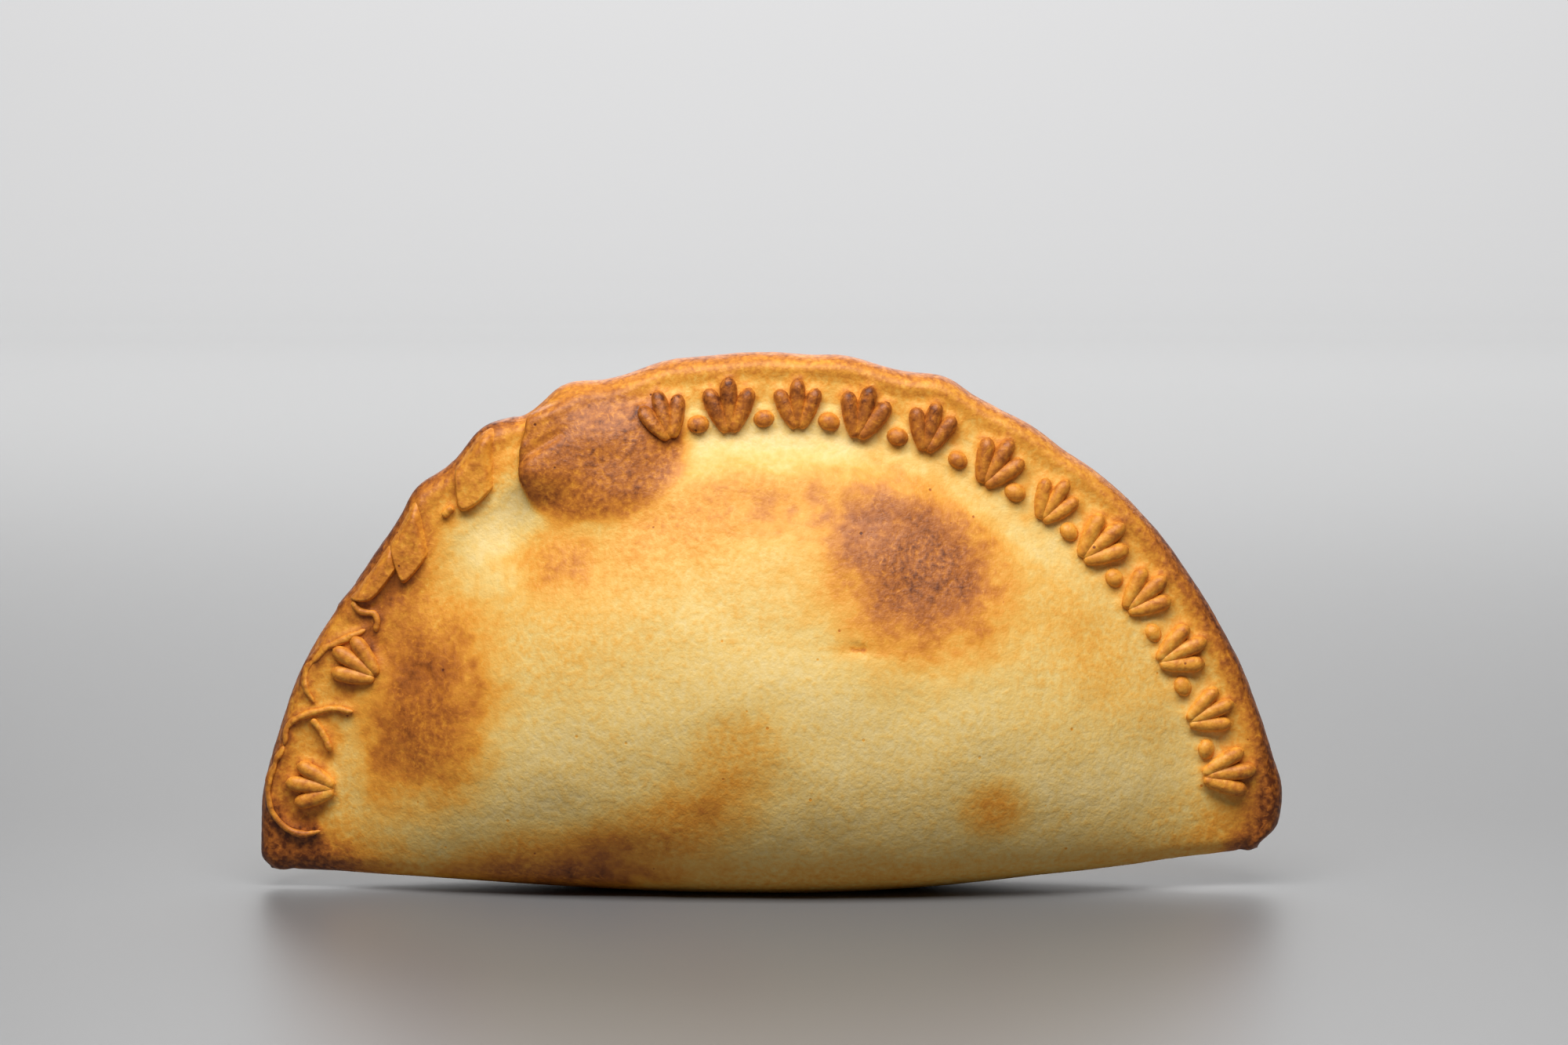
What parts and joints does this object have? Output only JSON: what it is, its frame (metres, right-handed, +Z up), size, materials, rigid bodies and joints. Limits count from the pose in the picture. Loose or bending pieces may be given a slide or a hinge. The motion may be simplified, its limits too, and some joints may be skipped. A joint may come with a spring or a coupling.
{
  "type": "empanada",
  "caption": "Baked half-moon pastry with a domed belly and a flat sealed rim that carries a raised border, standing on its folded edge.",
  "frame": {"origin": "middle of the flat spot under the fold that the pastry rests on, in the plane of the seam", "axes": "+X along the fold, to the right as seen from the front, -Y out of the domed front, +Z up"},
  "size_m": [0.125, 0.0313, 0.0655],
  "materials": {
    "crust": "dry baked dough, pale cream in the hollow inside the rim, golden to red-brown where it rose or caught, with a low uneven sheen"
  },
  "bodies": {
    "root": {"empanada": "crust"}
  },
  "joints": []
}
